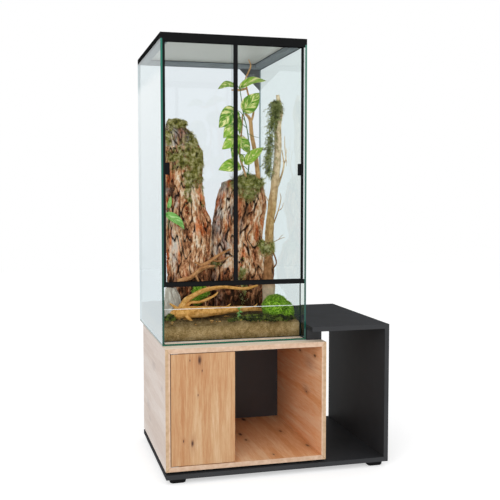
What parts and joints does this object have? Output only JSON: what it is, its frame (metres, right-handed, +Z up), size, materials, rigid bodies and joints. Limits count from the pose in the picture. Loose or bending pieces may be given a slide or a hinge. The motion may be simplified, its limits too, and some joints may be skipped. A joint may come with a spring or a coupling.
{
  "type": "terrarium cabinet",
  "caption": "Tall glass terrarium with sliding front panes and a lift-off screen, on an oak cabinet set in a black surround with an open side niche.",
  "frame": {"origin": "bottom centre of the whole object's box, on the floor", "axes": "+Z up along the height, -Y towards the front with the sliding panes, +X towards the open side niche"},
  "size_m": [0.94, 0.778, 1.771],
  "materials": {
    "oak_laminate": "satin",
    "anthracite_laminate": "matt",
    "black_plastic": "matt",
    "black_aluminium": "powder coated",
    "float_glass": "clear",
    "steel_net": "satin",
    "zinc_fittings": "satin",
    "soil": "loose",
    "pine_bark": "rough",
    "driftwood": "rough",
    "cork_bark": "rough",
    "moss": "fuzzy",
    "vine_leaf": "waxy"
  },
  "bodies": {
    "cabinet": {"oak_bottom": "oak_laminate", "oak_top": "oak_laminate", "oak_side_left": "oak_laminate", "oak_side_right": "oak_laminate", "oak_divider": "oak_laminate", "back_panel": "anthracite_laminate", "surround_base": "anthracite_laminate", "surround_panel": "anthracite_laminate", "surround_shelf": "anthracite_laminate", "shelf_riser": "anthracite_laminate", "plinth_spacer": "black_plastic", "foot_front_left": "black_plastic", "foot_front_right": "black_plastic", "foot_rear_left": "black_plastic", "foot_rear_right": "black_plastic", "corner_vent": "black_plastic", "push_latch": "black_plastic", "rail_lower": "black_aluminium", "rail_upper": "black_aluminium", "frame_front": "black_aluminium", "frame_rear": "black_aluminium", "frame_left": "black_aluminium", "frame_right": "black_aluminium", "glass_bottom": "float_glass", "glass_left": "float_glass", "glass_right": "float_glass", "glass_rear": "float_glass", "lower_pane": "float_glass", "middle_pane": "float_glass", "vent_strip": "steel_net", "pivot_pin_lower": "zinc_fittings", "pivot_pin_upper": "zinc_fittings", "soil": "soil", "bark_slab_left": "pine_bark", "bark_slab_right": "pine_bark", "trunk": "driftwood", "driftwood": "driftwood", "climbing_root": "driftwood", "twigs": "driftwood", "cork_slab": "cork_bark", "moss_ball": "moss", "moss_tuft": "moss", "moss_mat": "moss", "slab_moss_left": "moss", "slab_moss_right": "moss", "hanging_moss": "moss", "vine": "vine_leaf"},
    "left_sliding_door": {"pane_left": "float_glass", "pane_left_edge": "black_plastic", "pane_left_seal": "black_plastic", "pane_left_pull": "black_plastic"},
    "right_sliding_door": {"pane_right": "float_glass", "pane_right_edge": "black_plastic", "pane_right_pull": "black_plastic"},
    "cupboard_leaf": {"cupboard_door": "oak_laminate", "pivot_bush_lower": "black_plastic", "pivot_bush_upper": "black_plastic", "strike_plate": "zinc_fittings"},
    "screen_lid": {"top_screen": "steel_net"}
  },
  "joints": [
    {"name": "left_pane_slide", "type": "slide", "parent": "cabinet", "child": "left_sliding_door", "axis": [1, 0, 0], "range_m": [0, 0.27]},
    {"name": "right_pane_slide", "type": "slide", "parent": "cabinet", "child": "right_sliding_door", "axis": [-1, 0, 0], "range_m": [0, 0.27]},
    {"name": "cupboard_door_pivot", "type": "hinge", "parent": "cabinet", "child": "cupboard_leaf", "pos_m": [-0.443, -0.374, 0.294], "axis": [0, 0, -1], "range_deg": [0, 100]},
    {"name": "screen_lift", "type": "slide", "parent": "cabinet", "child": "screen_lid", "axis": [0, 0, 1], "range_m": [0, 0.15]}
  ]
}
